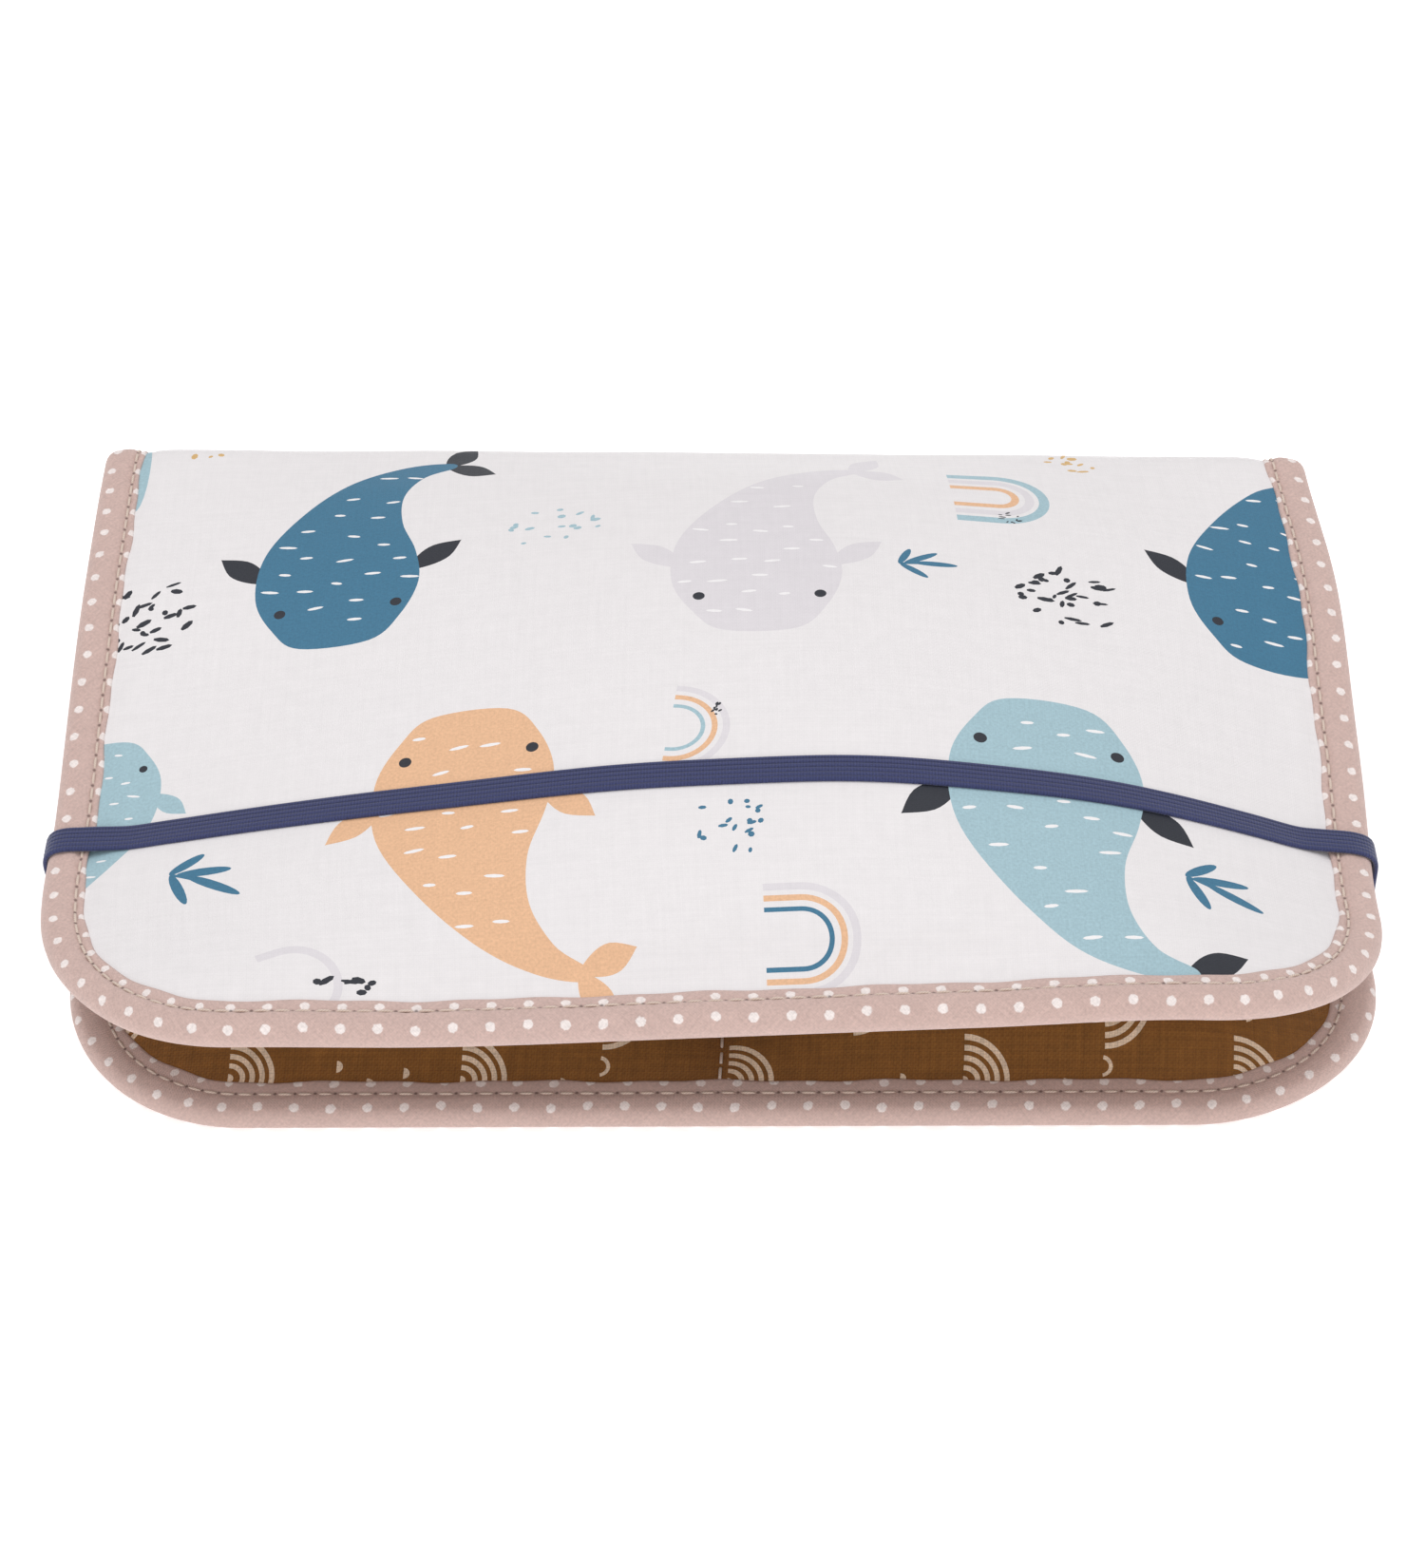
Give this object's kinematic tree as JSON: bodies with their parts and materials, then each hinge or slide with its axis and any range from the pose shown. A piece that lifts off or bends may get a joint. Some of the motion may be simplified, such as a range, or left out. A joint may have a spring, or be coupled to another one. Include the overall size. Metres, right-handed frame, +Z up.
{
  "type": "folding changing pad",
  "caption": "Small padded changing clutch that folds like a book, with bound edges, slip pockets inside and an elastic band round it.",
  "frame": {"origin": "middle of the underside of the closed clutch", "axes": "+X along the fold, -Y towards the open front edge, +Z up out of the cover"},
  "size_m": [0.2438, 0.161, 0.0416],
  "materials": {
    "coated_print": "white coated cotton with a sea-animal print, slight sheen",
    "lining_print": "mustard brown cotton with small off-white arcs, matt",
    "binding": "dusty pink cotton bias tape with white dots, matt",
    "batting": "off-white polyester wadding",
    "elastic": "ribbed navy woven elastic",
    "thread": "polyester sewing thread"
  },
  "bodies": {
    "base_panel": {"base_outer_fabric": "coated_print", "base_batting": "batting", "base_lining": "lining_print", "base_binding": "binding", "base_binding_stitches": "thread", "pocket_panel": "lining_print", "pocket_divider_stitches": "thread", "elastic_band": "elastic", "band_bar_tacks": "thread"},
    "spine": {"spine_outer_fabric": "coated_print", "spine_batting": "batting", "spine_lining": "lining_print", "spine_binding_left": "binding", "spine_binding_right": "binding", "spine_stitches_left": "thread", "spine_stitches_right": "thread"},
    "cover_panel": {"cover_outer_fabric": "coated_print", "cover_batting": "batting", "cover_lining": "lining_print", "cover_binding": "binding", "cover_binding_stitches": "thread"}
  },
  "joints": [
    {"name": "spine_fold", "type": "hinge", "parent": "base_panel", "child": "spine", "pos_m": [0, 0.0745, 0.0061], "axis": [-1, 0, 0], "range_deg": [0, 85]},
    {"name": "cover_fold", "type": "hinge", "parent": "spine", "child": "cover_panel", "pos_m": [0, 0.0745, 0.0246], "axis": [-1, 0, 0], "range_deg": [0, 85], "deforming": ["elastic_band"]}
  ],
  "couplings": [
    {"joint": "spine_fold", "follows": "cover_fold", "ratio": 1}
  ]
}
